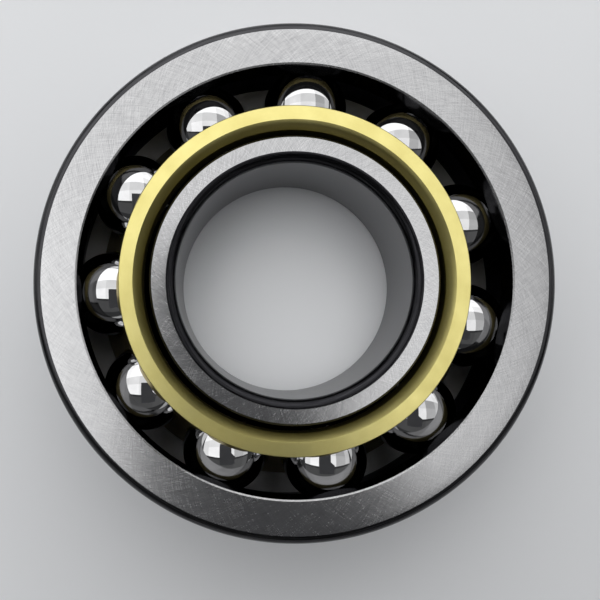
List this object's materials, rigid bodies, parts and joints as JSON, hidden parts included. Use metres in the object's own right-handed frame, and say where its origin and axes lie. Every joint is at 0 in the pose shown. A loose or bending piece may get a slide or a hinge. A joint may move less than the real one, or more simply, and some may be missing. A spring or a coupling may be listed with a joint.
{
  "type": "angular contact ball bearing",
  "caption": "Open single-row angular contact ball bearing: thick outer ring, inner ring with a smooth bore, steel balls rolling in a machined brass cage.",
  "frame": {"origin": "on the bearing axis, half way across the width, which is the centre of the bore", "axes": "+Z along the bearing axis, out of the outer ring's back face (its broad one); +X through the centre of ball_01"},
  "size_m": [0.11, 0.11, 0.027],
  "materials": {
    "ring_steel": "ground faces, superfinished raceways, light oil film",
    "cage_brass": "turned, fine concentric tool marks",
    "ball_steel": "lapped to a mirror polish"
  },
  "bodies": {
    "outer_ring": {"outer_ring": "ring_steel"},
    "inner_ring": {"inner_ring": "ring_steel"},
    "cage": {"cage": "cage_brass"},
    "ball_01": {"ball_01": "ball_steel"},
    "ball_02": {"ball_02": "ball_steel"},
    "ball_03": {"ball_03": "ball_steel"},
    "ball_04": {"ball_04": "ball_steel"},
    "ball_05": {"ball_05": "ball_steel"},
    "ball_06": {"ball_06": "ball_steel"},
    "ball_07": {"ball_07": "ball_steel"},
    "ball_08": {"ball_08": "ball_steel"},
    "ball_09": {"ball_09": "ball_steel"},
    "ball_10": {"ball_10": "ball_steel"},
    "ball_11": {"ball_11": "ball_steel"}
  },
  "joints": [
    {"name": "inner_ring_spin", "type": "hinge", "parent": "outer_ring", "child": "inner_ring", "pos_m": [0, 0, 0], "axis": [0, 0, 1], "continuous": true},
    {"name": "cage_orbit", "type": "hinge", "parent": "outer_ring", "child": "cage", "pos_m": [0, 0, 0], "axis": [0, 0, 1], "continuous": true},
    {"name": "ball_01_roll", "type": "hinge", "parent": "cage", "child": "ball_01", "pos_m": [0.04, 0, 0], "axis": [-0.6428, 0, 0.766], "continuous": true},
    {"name": "ball_02_roll", "type": "hinge", "parent": "cage", "child": "ball_02", "pos_m": [0.03365, 0.02163, 0], "axis": [-0.5407, -0.3475, 0.766], "continuous": true},
    {"name": "ball_03_roll", "type": "hinge", "parent": "cage", "child": "ball_03", "pos_m": [0.01662, 0.03639, 0], "axis": [-0.267, -0.5847, 0.766], "continuous": true},
    {"name": "ball_04_roll", "type": "hinge", "parent": "cage", "child": "ball_04", "pos_m": [-0.00569, 0.03959, 0], "axis": [0.0915, -0.6362, 0.766], "continuous": true},
    {"name": "ball_05_roll", "type": "hinge", "parent": "cage", "child": "ball_05", "pos_m": [-0.02619, 0.03023, 0], "axis": [0.4209, -0.4858, 0.766], "continuous": true},
    {"name": "ball_06_roll", "type": "hinge", "parent": "cage", "child": "ball_06", "pos_m": [-0.03838, 0.01127, 0], "axis": [0.6168, -0.1811, 0.766], "continuous": true},
    {"name": "ball_07_roll", "type": "hinge", "parent": "cage", "child": "ball_07", "pos_m": [-0.03838, -0.01127, 0], "axis": [0.6168, 0.1811, 0.766], "continuous": true},
    {"name": "ball_08_roll", "type": "hinge", "parent": "cage", "child": "ball_08", "pos_m": [-0.02619, -0.03023, 0], "axis": [0.4209, 0.4858, 0.766], "continuous": true},
    {"name": "ball_09_roll", "type": "hinge", "parent": "cage", "child": "ball_09", "pos_m": [-0.00569, -0.03959, 0], "axis": [0.0915, 0.6362, 0.766], "continuous": true},
    {"name": "ball_10_roll", "type": "hinge", "parent": "cage", "child": "ball_10", "pos_m": [0.01662, -0.03639, 0], "axis": [-0.267, 0.5847, 0.766], "continuous": true},
    {"name": "ball_11_roll", "type": "hinge", "parent": "cage", "child": "ball_11", "pos_m": [0.03365, -0.02163, 0], "axis": [-0.5407, 0.3475, 0.766], "continuous": true}
  ],
  "couplings": [
    {"joint": "cage_orbit", "follows": "inner_ring_spin", "ratio": 0.40879},
    {"joint": "ball_01_roll", "follows": "inner_ring_spin", "ratio": -2.0299},
    {"joint": "ball_02_roll", "follows": "inner_ring_spin", "ratio": -2.0299},
    {"joint": "ball_03_roll", "follows": "inner_ring_spin", "ratio": -2.0299},
    {"joint": "ball_04_roll", "follows": "inner_ring_spin", "ratio": -2.0299},
    {"joint": "ball_05_roll", "follows": "inner_ring_spin", "ratio": -2.0299},
    {"joint": "ball_06_roll", "follows": "inner_ring_spin", "ratio": -2.0299},
    {"joint": "ball_07_roll", "follows": "inner_ring_spin", "ratio": -2.0299},
    {"joint": "ball_08_roll", "follows": "inner_ring_spin", "ratio": -2.0299},
    {"joint": "ball_09_roll", "follows": "inner_ring_spin", "ratio": -2.0299},
    {"joint": "ball_10_roll", "follows": "inner_ring_spin", "ratio": -2.0299},
    {"joint": "ball_11_roll", "follows": "inner_ring_spin", "ratio": -2.0299}
  ]
}
